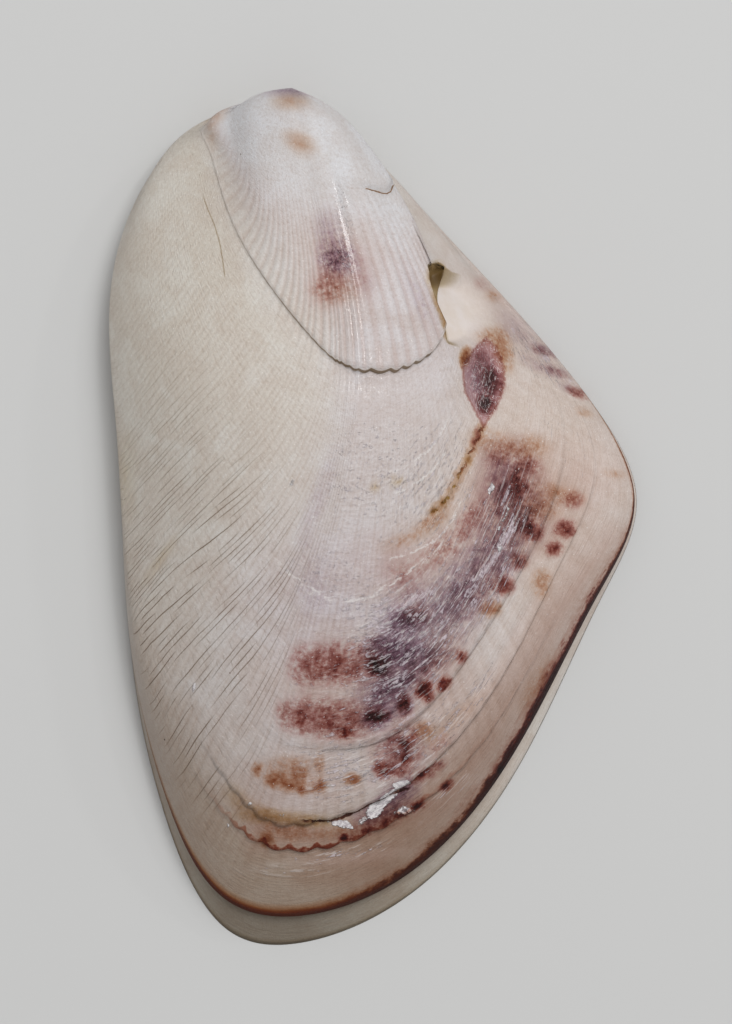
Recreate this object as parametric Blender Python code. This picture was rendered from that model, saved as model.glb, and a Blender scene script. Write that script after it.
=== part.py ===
"""One valve of a small ribbed mussel, lying hollow side down on the edge of its own rim.

Run with: blender --background --python part.py

The valve grew from its beak, at the +Y end, so it is lofted the way it grew. Each growth stage is the
outline that the shell's edge had at that age, and every stage is given at the same ribs, so a rib is a
smooth curve from the beak through one point of each stage. Ledges, ribs and the worn pocket are added to
that loft. Metres, +Z up, origin under the middle of the bounding box, rim on Z = 0.
"""

import bpy
import numpy as np

MM = 0.001

# Driving dimensions, in millimetres.
RIM_WALL = 0.92  # inside of the rim, as a share of its distance from the hollow's middle
CROWN_WALL = 0.87  # the same at the beak end of the hollow, where the wall is thickest
CROWN_DEPTH = 0.85  # height of the hollow, as a share of the height outside
HOLLOW_MIDDLE = (-1.6, -0.8, 0.0)
LEDGE_STEP = 0.34  # drop from the lip of an old edge to the shell that grew out under it
LIP_SHARE = 0.25  # part of that step by which the lip itself swells
LEDGE_REACH = 0.025  # how far the step fades on each side, as a share of the shell's age
RIB_HEIGHT = 0.13
POCKET_AT = (4.15, 8.6, 4.15)
POCKET_RADII = (1.15, 1.85, 1.05)
POCKET_TURN = 0.50  # radians about Z, along the dorsal slope

# The growth stages, oldest first. Each has one point for each of 14 ribs, in millimetres, from the hinge
# under the beak round by the left side, the far end and the right side, as the valve lies.
BEAK = (-3.1, 17.6, 2.4)
STAGES = {
    "umbo": [
        (-2.9, 17.1, 0.9), (-4.3, 17.0, 1.5), (-4.7, 17.2, 2.3), (-4.6, 17.2, 3.0), (-4.2, 17.1, 3.5),
        (-3.7, 17.0, 3.8), (-3.4, 17.0, 4.0), (-3.0, 16.9, 4.1), (-2.5, 16.8, 4.0), (-2.1, 16.8, 3.8),
        (-1.7, 16.7, 3.4), (-1.4, 16.7, 2.8), (-1.3, 16.7, 2.1), (-1.8, 16.9, 1.3),
    ],
    "first_year": [
        (-2.8, 17.0, 0.7), (-5.5, 16.8, 1.9), (-5.8, 16.2, 2.8), (-5.5, 15.1, 3.9), (-4.8, 14.6, 4.6),
        (-3.9, 14.3, 5.0), (-3.3, 14.2, 5.2), (-2.7, 14.0, 5.2), (-1.8, 13.8, 5.1), (-0.9, 13.6, 4.8),
        (0.1, 13.4, 4.2), (0.8, 13.3, 3.4), (1.1, 13.7, 2.5), (0.2, 14.8, 1.6),
    ],
    "juvenile": [
        (-2.8, 16.8, 0.5), (-6.4, 16.3, 1.7), (-6.5, 15.0, 3.1), (-5.2, 11.3, 5.2), (-2.1, 7.0, 6.5),
        (-1.0, 6.1, 6.7), (-0.3, 5.8, 6.7), (0.2, 5.8, 6.6), (1.0, 5.8, 6.4), (2.0, 6.1, 6.0),
        (2.9, 6.8, 5.4), (3.3, 7.8, 4.8), (3.0, 9.4, 4.2), (1.6, 12.4, 2.8),
    ],
    "middle": [
        (-2.8, 16.8, 0.3), (-7.3, 16.0, 1.3), (-9.1, 12.3, 2.8), (-8.3, 6.9, 4.5), (-5.6, 0.9, 6.1),
        (-3.4, -2.4, 6.5), (-2.0, -3.5, 6.5), (-1.0, -3.6, 6.4), (0.7, -3.2, 6.1), (2.6, -1.5, 5.7),
        (4.5, 2.3, 4.9), (5.3, 4.9, 4.1), (5.4, 7.3, 2.8), (2.7, 12.1, 1.2),
    ],
    "late_ledge": [
        (-2.8, 16.8, 0.1), (-7.5, 15.8, 0.8), (-10.4, 10.4, 1.8), (-10.3, 3.6, 2.2), (-9.3, -4.1, 2.8),
        (-7.0, -9.1, 3.8), (-4.4, -12.5, 3.7), (-2.4, -12.8, 3.6), (1.2, -11.5, 3.4), (5.1, -7.6, 3.3),
        (8.1, -2.0, 2.8), (9.5, 1.9, 2.1), (7.5, 6.5, 1.1), (3.0, 11.9, 0.4),
    ],
    "brown_edge": [
        (-2.8, 16.8, 0.05), (-7.4, 15.8, 0.4), (-10.3, 10.4, 1.0), (-10.3, 3.2, 1.2), (-9.8, -5.3, 1.3),
        (-8.3, -11.8, 1.3), (-5.8, -16.1, 1.3), (-2.8, -16.8, 1.3), (1.6, -14.9, 1.3), (5.9, -10.1, 1.3),
        (9.4, -3.5, 1.2), (11.1, 0.8, 0.7), (8.0, 6.4, 0.5), (3.1, 11.9, 0.2),
    ],
    "rim": [
        (-2.8, 16.8, 0.0), (-7.2, 15.8, 0.0), (-10.0, 10.5, 0.0), (-10.2, 3.0, 0.0), (-9.9, -5.4, 0.0),
        (-8.7, -11.9, 0.0), (-6.0, -17.4, 0.0), (-2.8, -18.1, 0.0), (1.8, -16.1, 0.0), (6.3, -10.9, 0.0),
        (9.8, -3.8, 0.0), (11.35, 0.8, 0.0), (8.1, 6.3, 0.0), (3.1, 11.9, 0.0),
    ],
}
# Age of each stage, as a share of the way from the beak to the rim.
AGES = (0.0, 0.05, 0.14, 0.36, 0.62, 0.85, 0.96, 1.0)

# Ribs that fan out between one given rib and the next.
RIBS_BETWEEN = (2, 4, 6, 8, 5, 4, 2, 4, 5, 4, 3, 4, 4, 3)

# The ledges that old edges left, by age, with the share of a full step that each keeps at each rib.
LEDGES = {
    0.14: (0.0, 0.2, 0.3, 0.2, 0.2, 0.2, 0.3, 0.3, 0.4, 0.4, 0.6, 0.7, 0.4, 0.0),
    0.36: (0.0, 0.3, 0.4, 0.6, 0.9, 1.0, 1.0, 1.0, 1.0, 1.0, 1.0, 0.9, 0.4, 0.0),
    0.775: (0.0, 0.0, 0.0, 0.0, 0.1, 0.3, 0.7, 0.9, 1.0, 0.8, 0.5, 0.3, 0.2, 0.0),
    0.85: (0.0, 0.1, 0.2, 0.3, 0.6, 1.0, 1.1, 1.1, 1.1, 1.0, 0.8, 0.6, 0.3, 0.0),
    0.96: (0.1, 0.2, 0.4, 0.6, 0.9, 1.3, 1.5, 1.5, 1.4, 1.2, 1.0, 0.8, 0.4, 0.1),
}


def chord_knots(points, closed):
    """Places of the points along their curve: sums of the square roots of the gaps between them."""
    ends = np.vstack([points, points[:1]]) if closed else points
    gaps = np.linalg.norm(np.diff(ends, axis=0), axis=1) ** 0.5
    return np.concatenate([[0.0], np.cumsum(gaps)])


def spline(knots, values, at, closed=False):
    """A cubic curve through values at knots, with no jump in slope or bend, read at the places in at."""
    values = np.asarray(values, float)
    if closed:
        values = np.concatenate([values, values[:1]])
    gap = np.diff(knots)
    rise = np.diff(values, axis=0) / gap.reshape(-1, *[1] * (values.ndim - 1))
    count = len(knots)
    left = np.zeros((count, count))
    right = np.zeros_like(values)
    for i in range(1, count - 1):
        left[i, i - 1 : i + 2] = gap[i], 2 * (gap[i - 1] + gap[i]), gap[i - 1]
        right[i] = 3 * (gap[i] * rise[i - 1] + gap[i - 1] * rise[i])
    if closed:
        left[0, [count - 2, 0, 1]] = gap[0], 2 * (gap[-1] + gap[0]), gap[-1]
        right[0] = 3 * (gap[0] * rise[-1] + gap[-1] * rise[0])
        left[-1, [0, -1]] = 1, -1
    else:
        left[0, :2] = 2, 1
        right[0] = 3 * rise[0]
        left[-1, -2:] = 1, 2
        right[-1] = 3 * rise[-1]
    slope = np.linalg.solve(left, right.reshape(count, -1)).reshape(values.shape)
    i = np.clip(np.searchsorted(knots, at, "right") - 1, 0, count - 2)
    shape = (-1, *[1] * (values.ndim - 1))
    h = gap[i].reshape(shape)
    t = ((at - knots[i]) / gap[i]).reshape(shape)
    return (
        values[i] * (1 + 2 * t) * (1 - t) ** 2
        + values[i + 1] * t**2 * (3 - 2 * t)
        + slope[i] * h * t * (1 - t) ** 2
        - slope[i + 1] * h * t**2 * (1 - t)
    )


def rib_places():
    """Two columns for each rib, its crest and its groove, as places round the stages."""
    knots = chord_knots(np.array(STAGES["rim"]), closed=True)
    counts = np.concatenate([[0], np.cumsum(RIBS_BETWEEN)])
    columns = np.arange(2 * counts[-1]) / 2
    return knots, np.interp(columns, counts, knots)


def valve_surface(ages):
    """Points of the plain valve: a row for each age, a column for each crest and groove."""
    knots, places = rib_places()
    stages = [spline(knots, points, places, closed=True) for points in STAGES.values()]
    beak = np.broadcast_to(BEAK, stages[0].shape)
    return spline(np.array(AGES), [beak, *stages], ages)


def outward(points):
    """Unit normals of a grid whose rows run from the beak to the rim, and whose columns close."""
    along = np.gradient(points, axis=0)
    around = np.roll(points, -1, axis=1) - np.roll(points, 1, axis=1)
    normal = np.cross(along, around)
    return normal / np.maximum(np.linalg.norm(normal, axis=2, keepdims=True), 1e-9)


def ledge(age, edge):
    """An old edge: the shell swells to a lip, drops at once, and recovers further out."""
    fade = np.exp(-np.abs(age - edge) / LEDGE_REACH)
    return LEDGE_STEP * fade * np.where(age <= edge, LIP_SHARE, LIP_SHARE - 1)


def relief(ages):
    """Ledges and ribs, as heights above the plain valve."""
    age = ages[:, None]
    knots, places = rib_places()
    crest = np.where(np.arange(2 * sum(RIBS_BETWEEN)) % 2, -0.5, 0.5)
    height = RIB_HEIGHT * crest * np.interp(age, (0.14, 0.26, 0.6, 0.85, 0.95), (0, 0.8, 1.4, 1, 0))
    for edge, shares in LEDGES.items():
        height = height + ledge(age, edge) * spline(knots, shares, places, closed=True)
    return height * np.interp(age, (0, 0.03, 0.975, 1), (0, 1, 1, 0))


def outer_rings():
    ages = np.array([
        0.012, 0.03, 0.055, 0.08, 0.11, 0.14, 0.144, 0.18, 0.22, 0.26, 0.30, 0.335, 0.36, 0.364, 0.39,
        0.43, 0.48, 0.53, 0.58, 0.63, 0.68, 0.73, 0.775, 0.779, 0.80, 0.83, 0.85, 0.854, 0.88, 0.92, 0.96,
        0.963, 0.98, 1.0,
    ])
    points = valve_surface(ages)
    points += outward(points) * relief(ages)[:, :, None]
    points[-1, :, 2] = 0
    return points


def drawn_in(points, ages):
    """The same points as the hollow has them: nearer the middle of the rim, by more at the beak."""
    middle = np.array(HOLLOW_MIDDLE)
    share = np.interp(ages, (0, 1), (CROWN_WALL, RIM_WALL))[:, None, None]
    scale = np.concatenate([share, share, np.full_like(share, CROWN_DEPTH)], 2)
    return middle + (points - middle) * scale


def inner_rings():
    """The hollow, from the rim back to the cavity under the beak."""
    ages = np.array([1.0, 0.93, 0.80, 0.64, 0.46, 0.30, 0.16, 0.06])
    return drawn_in(valve_surface(ages), ages)


def skin(rings, first_pole, last_pole):
    """One closed mesh through the rings in turn, with a fan of triangles at each pole."""
    count, columns, _ = rings.shape
    points = np.vstack([rings.reshape(-1, 3), [first_pole, last_pole]])
    here = np.arange(columns)
    after = (here + 1) % columns
    faces = []
    for row in range(count - 1):
        low, high = row * columns, (row + 1) * columns
        faces += np.stack([low + here, high + here, high + after, low + after], 1).tolist()
    start, end = count * columns, count * columns + 1
    last = (count - 1) * columns
    faces += [(start, a, b) for a, b in zip(here.tolist(), after.tolist())]
    faces += [(end, last + b, last + a) for a, b in zip(here.tolist(), after.tolist())]
    mesh = bpy.data.meshes.new("mussel_valve")
    mesh.from_pydata((points * MM).tolist(), [], faces)
    return mesh


def shell_material():
    material = bpy.data.materials.new("shell")
    material.use_nodes = True
    surface = material.node_tree.nodes["Principled BSDF"]
    surface.inputs["Base Color"].default_value = (0.66, 0.59, 0.55, 1)
    surface.inputs["Roughness"].default_value = 0.42
    surface.inputs["Metallic"].default_value = 0
    return material


def make_valve(parts):
    outer, inner = outer_rings(), inner_rings()
    hollow_pole = drawn_in(np.array([[BEAK]]), np.zeros(1))[0, 0]
    everything = np.vstack([outer.reshape(-1, 3), [BEAK]])
    low, high = everything.min(0), everything.max(0)
    centre = np.array([(low[0] + high[0]) / 2, (low[1] + high[1]) / 2, 0])
    mesh = skin(np.vstack([outer, inner]) - centre, np.array(BEAK) - centre, hollow_pole - centre)
    valve = bpy.data.objects.new("mussel_valve", mesh)
    parts.objects.link(valve)
    valve.data.materials.append(shell_material())
    valve.data.shade_smooth()
    print("size in mm", np.round(high - low, 2), "middle of the drawing in mm", np.round(centre, 3))
    return valve, centre


def cut_pocket(valve, centre, cutters):
    """The worn pocket beside the juvenile edge, where the outer layer has broken away."""
    bpy.ops.mesh.primitive_uv_sphere_add(segments=20, ring_count=12, radius=MM)
    cutter = bpy.context.object
    cutter.name = "pocket_cutter"
    cutter.scale = POCKET_RADII
    cutter.rotation_euler = (0, 0, POCKET_TURN)
    cutter.location = (np.array(POCKET_AT) - centre) * MM
    for collection in cutter.users_collection:
        collection.objects.unlink(cutter)
    cutters.objects.link(cutter)
    cutter.hide_render = True
    cutter.display_type = "WIRE"
    cut = valve.modifiers.new("worn_pocket", "BOOLEAN")
    cut.operation = "DIFFERENCE"
    cut.object = cutter


def main():
    for old in list(bpy.data.objects):
        bpy.data.objects.remove(old)
    parts = bpy.data.collections.new("mussel_shell")
    cutters = bpy.data.collections.new("cutters")
    for collection in (parts, cutters):
        bpy.context.scene.collection.children.link(collection)
    valve, centre = make_valve(parts)
    cut_pocket(valve, centre, cutters)


main()
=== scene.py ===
# %% [markdown]
# # A mussel's valve
# A mussel shell is two valves, joined at a hinge beside the beak. This is one of them, lying hollow side
# down. It grew outwards from the beak, one thin layer at a time, so every mark on it belongs either to an
# age or to a rib. This lesson builds it on a grid of those two numbers, and paints it by them too.

import bpy
import numpy as np
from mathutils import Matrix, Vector


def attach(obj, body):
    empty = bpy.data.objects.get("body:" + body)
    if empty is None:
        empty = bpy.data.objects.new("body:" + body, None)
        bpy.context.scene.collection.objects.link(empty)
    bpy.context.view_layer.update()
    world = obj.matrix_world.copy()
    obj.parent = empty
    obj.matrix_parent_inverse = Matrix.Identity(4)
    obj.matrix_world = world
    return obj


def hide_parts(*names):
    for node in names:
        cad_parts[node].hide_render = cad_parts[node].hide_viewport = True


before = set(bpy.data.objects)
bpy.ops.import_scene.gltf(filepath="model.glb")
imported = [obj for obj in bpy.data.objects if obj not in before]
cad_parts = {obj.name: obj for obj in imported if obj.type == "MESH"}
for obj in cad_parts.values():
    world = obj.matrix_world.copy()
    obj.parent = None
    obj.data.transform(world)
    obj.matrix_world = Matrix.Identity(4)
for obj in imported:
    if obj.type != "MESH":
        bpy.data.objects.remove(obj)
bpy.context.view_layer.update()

# %% [markdown]
# ## The sheet and the eye
# Marks are listed where they lie in a view from straight above, in pixels of 0.042 mm on the sheet. The
# eye is 200 mm up, so a point that stands higher looks a little further from the middle. One short
# formula turns a point of the shell into such a place, and every list below uses it.

# %% Places as seen from above
MM = 0.001
PIXEL = 0.042
EYE_HEIGHT = 200.0
VIEW_PIXELS = (732, 1024)
MIDDLE = np.array([0.326, -0.290, 0.0])  # middle of the outline, from the middle of the view, in mm


def seen(points):
    """Pixel place of each point, across and down from the view's corner. A higher point spreads further."""
    spread = EYE_HEIGHT / (EYE_HEIGHT - points[..., 2]) / PIXEL
    across = VIEW_PIXELS[0] / 2 + points[..., 0] * spread
    down = VIEW_PIXELS[1] / 2 - points[..., 1] * spread
    return np.stack([across, down], -1)


# %% [markdown]
# ## Growth stages
# A shell keeps every edge that it ever had as a growth line. Seven of those edges, read at the same 14
# ribs, fix the whole form. A subdivision cage could be pushed to the same shape by hand, but then no
# vertex would know its age or its rib, and the ledges, ribs and colours would have nothing to follow.

# %% Stages from the beak to the rim
BEAK = (-3.1, 17.6, 2.4)
STAGES = np.array([
    [(-2.9, 17.1, 0.9), (-4.3, 17.0, 1.5), (-4.7, 17.22, 2.38), (-4.31, 17.12, 3.42), (-3.18, 16.95, 4.08),
     (-2.79, 16.85, 4.08), (-2.54, 16.8, 4.02), (-2.36, 16.8, 3.94), (-2.17, 16.8, 3.85), (-1.86, 16.74, 3.61),
     (-1.6, 16.69, 3.24), (-1.37, 16.7, 2.73), (-1.3, 16.7, 2.1), (-1.8, 16.9, 1.3)],
    [(-2.8, 17.0, 0.7), (-5.5, 16.8, 1.9), (-5.73, 16.0, 3.0), (-4.52, 14.5, 4.73), (-2.77, 14.02, 5.2),
     (-2.16, 13.87, 5.15), (-1.7, 13.78, 5.08), (-1.34, 13.7, 4.97), (-0.9, 13.6, 4.8), (-0.2, 13.46, 4.43),
     (0.41, 13.33, 3.9), (0.83, 13.31, 3.35), (1.1, 13.7, 2.5), (0.2, 14.8, 1.6)],
    [(-2.8, 16.8, 0.5), (-6.4, 16.3, 1.7), (-6.5, 15.0, 3.1), (-5.2, 11.3, 5.2), (-2.1, 7.0, 6.5),
     (-1.0, 6.1, 6.7), (-0.3, 5.8, 6.7), (0.2, 5.8, 6.6), (1.0, 5.8, 6.4), (2.0, 6.1, 6.0),
     (2.9, 6.8, 5.4), (3.3, 7.8, 4.8), (3.0, 9.4, 4.2), (1.6, 12.4, 2.8)],
    [(-2.8, 16.8, 0.3), (-7.3, 16.0, 1.3), (-9.1, 12.3, 2.8), (-8.3, 6.9, 4.5), (-5.6, 0.9, 6.1),
     (-3.4, -2.4, 6.5), (-2.0, -3.5, 6.5), (-1.0, -3.6, 6.4), (0.7, -3.2, 6.1), (2.6, -1.5, 5.7),
     (4.5, 2.3, 4.9), (5.3, 4.9, 4.1), (5.4, 7.3, 2.8), (2.7, 12.1, 1.2)],
    [(-2.8, 16.8, 0.1), (-7.5, 15.8, 0.8), (-10.4, 10.4, 1.8), (-10.3, 3.6, 2.2), (-9.3, -4.1, 2.8),
     (-7.0, -9.1, 3.8), (-4.4, -12.5, 3.7), (-2.4, -12.8, 3.6), (1.2, -11.5, 3.4), (5.1, -7.6, 3.3),
     (8.1, -2.0, 2.8), (9.5, 1.9, 2.1), (7.5, 6.5, 1.1), (3.0, 11.9, 0.4)],
    [(-2.8, 16.8, 0.05), (-7.4, 15.8, 0.4), (-10.3, 10.4, 1.0), (-10.3, 3.2, 1.2), (-9.8, -5.3, 1.3),
     (-8.3, -11.8, 1.3), (-5.8, -16.1, 1.3), (-2.8, -16.8, 1.3), (1.6, -14.9, 1.3), (5.9, -10.1, 1.3),
     (9.4, -3.5, 1.2), (11.1, 0.8, 0.7), (8.0, 6.4, 0.5), (3.1, 11.9, 0.2)],
    [(-2.8, 16.8, 0.0), (-7.2, 15.8, 0.0), (-10.0, 10.5, 0.0), (-10.2, 3.0, 0.0), (-9.9, -5.4, 0.0),
     (-8.7, -11.9, 0.0), (-6.0, -17.4, 0.0), (-2.8, -18.1, 0.0), (1.8, -16.1, 0.0), (6.3, -10.9, 0.0),
     (9.8, -3.8, 0.0), (11.35, 0.8, 0.0), (8.1, 6.3, 0.0), (3.1, 11.9, 0.0)],
])
AGES = np.array([0.0, 0.05, 0.14, 0.36, 0.62, 0.85, 0.96, 1.0])

# %% [markdown]
# ## Smooth curves through the stages
# A cubic curve with no jump in slope or in bend is what a thin springy strip would do, and it is what the
# eye expects of a grown thing. NumPy has no such curve ready made, but its slopes come from one small set
# of linear equations.


# %% Cubic curves
def slopes_at(knots, values, closed=False):
    """Slopes at the knots, from: gap after times slope before, plus twice both gaps times slope here, plus
    gap before times slope after, equals three times the rises weighted by the opposite gaps."""
    gap = np.diff(knots)
    rise = np.diff(values, axis=0) / gap.reshape(-1, *[1] * (values.ndim - 1))
    count = len(knots)
    left = np.zeros((count, count))
    right = np.zeros_like(values)
    for i in range(1, count - 1):
        left[i, i - 1 : i + 2] = gap[i], 2 * (gap[i - 1] + gap[i]), gap[i - 1]
        right[i] = 3 * (gap[i] * rise[i - 1] + gap[i - 1] * rise[i])
    if closed:
        left[0, [count - 2, 0, 1]] = gap[0], 2 * (gap[-1] + gap[0]), gap[-1]
        right[0] = 3 * (gap[0] * rise[-1] + gap[-1] * rise[0])
        left[-1, [0, -1]] = 1, -1
    else:
        left[0, :2] = 2, 1
        right[0] = 3 * rise[0]
        left[-1, -2:] = 1, 2
        right[-1] = 3 * rise[-1]
    return np.linalg.solve(left, right.reshape(count, -1)).reshape(values.shape)


def between(first, last, first_slope, last_slope, gap, t):
    """Cubic blend: first and last share by 1 - 3tt + 2ttt, and each slope adds gap times t(1-t) squared."""
    return (
        first * (1 + 2 * t) * (1 - t) ** 2
        + last * t**2 * (3 - 2 * t)
        + first_slope * gap * t * (1 - t) ** 2
        - last_slope * gap * t**2 * (1 - t)
    )


def round_curve(knots, values, places):
    """Values of a closed curve at places along it."""
    values = np.asarray(values, float)
    values = np.concatenate([values, values[:1]])
    slopes = slopes_at(knots, values, closed=True)
    i = np.clip(np.searchsorted(knots, places, "right") - 1, 0, len(knots) - 2)
    shape = (-1, *[1] * (values.ndim - 1))
    gap = np.diff(knots)[i].reshape(shape)
    t = (places - knots[i]).reshape(shape) / gap
    return between(values[i], values[i + 1], slopes[i], slopes[i + 1], gap, t)


# %% [markdown]
# ## Columns follow ribs
# The valve has fine ribs that fan out from the beak. After the juvenile edge there are more of them than
# before, because new ones slip in between. Columns are shared out by the later count, so that a crowded
# stretch gets as many columns as it has ribs to show.

# %% Ribs and columns
LATE_RIBS = (4, 10, 18, 24, 12, 9, 4, 7, 8, 7, 4, 6, 8, 5)
YOUNG_RIBS = (2, 3, 8, 12, 4, 2, 1, 1, 2, 2, 2, 3, 6, 4)
COLUMNS = 588

rim = np.vstack([STAGES[-1], STAGES[-1][:1]])
knots = np.concatenate([[0.0], np.cumsum(np.linalg.norm(np.diff(rim, axis=0), axis=1) ** 0.5)])
late_counts = np.concatenate([[0], np.cumsum(LATE_RIBS)])
young_counts = np.concatenate([[0], np.cumsum(YOUNG_RIBS)])
late_rib = np.arange(COLUMNS) * late_counts[-1] / COLUMNS
places = np.interp(late_rib, late_counts, knots)
young_rib = np.interp(places, knots, young_counts)
station = np.interp(places, knots, np.arange(15))
stage_rings = np.concatenate([
    np.broadcast_to(BEAK, (1, COLUMNS, 3)),
    np.stack([round_curve(knots, ring, places) for ring in STAGES]),
])
stage_slopes = slopes_at(AGES, stage_rings)
print(late_counts[-1], "late ribs,", young_counts[-1], "young ribs,", COLUMNS, "columns")


def edge_age(*values):
    """An age for each of the 14 given ribs, joined by a smooth curve round the whole shell."""
    return round_curve(knots, values, places)


def by_rib(*values):
    """A strength for each of the 14 given ribs, joined by straight lines so that it never overshoots."""
    return np.interp(station, np.arange(15), values + values[:1])


def valve(age):
    """Points of the plain valve at a grid of ages, one column for each rib place."""
    i = np.clip(np.searchsorted(AGES, age.ravel(), "right") - 1, 0, len(AGES) - 2).reshape(age.shape)
    column = np.arange(COLUMNS)[None, :]
    gap = np.diff(AGES)[i][..., None]
    t = (age - AGES[i])[..., None] / gap
    return between(
        stage_rings[i, column], stage_rings[i + 1, column],
        stage_slopes[i, column], stage_slopes[i + 1, column], gap, t,
    )


# %% [markdown]
# ## Rows follow growth
# Rows lie close together where the shell changes quickly. At a ledge two rows lie a hair apart, one on
# the lip and one at its foot, and both follow the scallops that the ribs give that edge.

# %% Rows, and the old edges that they follow
EDGES = {
    "first": np.full(COLUMNS, 0.14),
    "juvenile": np.full(COLUMNS, 0.36),
    "worn": edge_age(
        0.78, 0.785, 0.785, 0.785, 0.785, 0.785, 0.769, 0.772, 0.784, 0.777, 0.79, 0.785, 0.78, 0.78
    ),
    "late": np.full(COLUMNS, 0.85),
    "red": edge_age(0.89, 0.89, 0.89, 0.89, 0.89, 0.885, 0.877, 0.881, 0.888, 0.898, 0.9, 0.9, 0.89, 0.89),
    "brown": edge_age(
        0.96, 0.96, 0.96, 0.96, 0.96, 0.96, 0.96, 0.959, 0.9665, 0.967, 0.972, 0.968, 0.96, 0.96
    ),
}
young_scallop = np.abs(np.sin(np.pi * young_rib)) - 0.5
late_scallop = np.abs(np.sin(np.pi * late_rib / 2)) - 0.5
EDGES["juvenile"] += 0.0034 * young_scallop * by_rib(0, 0, 0, 0, 0.2, 0.35, 0.45, 0.7, 1, 1, 0.6, 0.2, 0, 0)
EDGES["late"] += 0.0045 * late_scallop * by_rib(0, 0, 0, 0, 0, 0.3, 1, 1, 0.6, 0.2, 0.1, 0, 0, 0)
EDGES["red"] += 0.0045 * late_scallop * by_rib(0, 0, 0, 0, 0, 0.2, 1, 1, 1, 0.6, 0.2, 0, 0, 0)

nominal = {"first": 0.14, "juvenile": 0.36, "worn": 0.78, "late": 0.85, "red": 0.888, "brown": 0.96}
HAIR = 0.0012
spans = [(0.004, 0.14, 15), (0.14, 0.36, 26), (0.36, 0.78, 50), (0.78, 0.85, 16), (0.85, 0.888, 11),
         (0.888, 0.96, 15), (0.96, 1.0, 10)]
rows = []
for start, stop, count in spans:
    first = start if start < 0.01 else start + HAIR
    rows += [np.linspace(first, stop, count)]
rows = np.concatenate(rows)
warp_at = np.array([0.0, *nominal.values(), 1.0])
warp_by = np.stack(
    [np.zeros(COLUMNS), *[EDGES[name] - age for name, age in nominal.items()], np.zeros(COLUMNS)]
)
share = np.clip(np.searchsorted(warp_at, rows, "left") - 1, 0, len(warp_at) - 2)
t = ((rows - warp_at[share]) / np.diff(warp_at)[share])[:, None]
age = rows[:, None] + warp_by[share] * (1 - t) + warp_by[share + 1] * t
plain = valve(age)
print(len(rows), "rows outside")

# %% [markdown]
# ## Relief
# What stands above or below the plain form is a height along its normals: ledges at the old edges, ribs,
# shallow waves of growth, and a pocket where a flake has broken away. Each is a formula on the grid.


# %% Normals and distances along the growth
def outward(points):
    """Unit normals: the cross product of the step along growth and the step round the shell."""
    along = np.gradient(points, axis=0)
    around = np.roll(points, -1, axis=1) - np.roll(points, 1, axis=1)
    normal = np.cross(along, around)
    return normal / np.maximum(np.linalg.norm(normal, axis=2, keepdims=True), 1e-9)


pace = np.linalg.norm(
    valve(np.minimum(age + 0.004, 1)) - valve(np.minimum(age + 0.004, 1) - 0.008), axis=2,
) / 0.008
past = {name: (age - edge) * np.maximum(pace, 6) for name, edge in EDGES.items()}
eye_place = seen(plain)


def ledge(name, step, lip, *strength):
    """An old edge, in mm: a lip that swells over 0.5 mm, a sudden drop, and a recovery over 0.9 mm."""
    distance = past[name]
    before = lip * np.exp(np.minimum(distance, 0) / 0.5)
    after = (lip - 1) * np.exp(-np.maximum(distance, 0) / 0.9)
    return step * by_rib(*strength) * np.where(distance <= 1e-6, before, after)


ledges = (
    ledge("first", 0.16, 0.3, 0, 0, 0, 0, 0, 0, 0, 0, 0, 0.3, 0.9, 1.0, 0.6, 0)
    + ledge("juvenile", 0.30, 0.15, 0, 0, 0.03, 0.08, 0.35, 0.7, 1.0, 1.0, 1.0, 1.0, 1.0, 0.9, 0.4, 0)
    + ledge("worn", 0.16, 0.3, 0, 0, 0, 0, 0, 0, 0.1, 0.3, 0.8, 1.0, 0.8, 0.1, 0, 0)
    + ledge("late", 0.32, 0.3, 0, 0, 0, 0, 0, 0, 0.35, 0.6, 0.85, 0.8, 0.5, 0.06, 0, 0)
    + ledge("red", 0.10, 0.5, 0, 0, 0, 0, 0, 0, 0.6, 1.0, 0.9, 0.3, 0, 0, 0, 0)
    + ledge("brown", 0.34, 0.3, 0.1, 0.1, 0.2, 0.3, 0.6, 0.9, 1.2, 1.2, 1.2, 1.1, 1.0, 0.8, 0.4, 0.1)
)

# %% [markdown]
# ### Ribs and waves
# A rib is a cosine of the rib number, never higher than a share of the space between ribs. New layers also
# grew in pulses, which leaves shallow waves along the growth.

# %% Ribs and waves
column_step = np.linalg.norm(np.roll(plain, -1, axis=1) - np.roll(plain, 1, axis=1), axis=2) / 2
late_spacing = column_step / (late_counts[-1] / COLUMNS)
young_pitch = (np.roll(young_rib, -1) - young_rib) % young_counts[-1]
young_spacing = column_step / young_pitch
young_height = np.interp(age, (0.10, 0.17, 0.30, 0.36, 0.39, 0.44), (0, 0.3, 1, 1, 0.3, 0)) * by_rib(
    0, 0, 0.05, 0.35, 0.8, 1, 1, 1, 1, 1, 1, 0.8, 0.4, 0
)
late_height = np.interp(age, (0.36, 0.5, 0.88, 0.96), (0.1, 1, 1, 0)) * by_rib(
    0, 0, 0.1, 0.25, 0.4, 0.5, 0.5, 0.5, 0.6, 0.7, 0.5, 0.3, 0.2, 0
)
ribs = (
    np.minimum(0.042, 0.075 * young_spacing) * young_height * np.cos(2 * np.pi * young_rib)
    + np.minimum(0.020, 0.035 * late_spacing) * late_height * np.cos(2 * np.pi * late_rib)
)
waves = 0.022 * np.sin(2 * np.pi * age / 0.031 + 1.5 * np.sin(station)) * np.interp(
    age, (0.5, 0.7, 0.85, 0.9), (0, 1, 1, 0)
)
print("young ribs up to", round(float(ribs.max()), 3), "mm high")
waves = waves * by_rib(0, 0, 0, 0, 0, 0.2, 0.5, 0.7, 1, 1, 0.7, 0.3, 0, 0)

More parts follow.
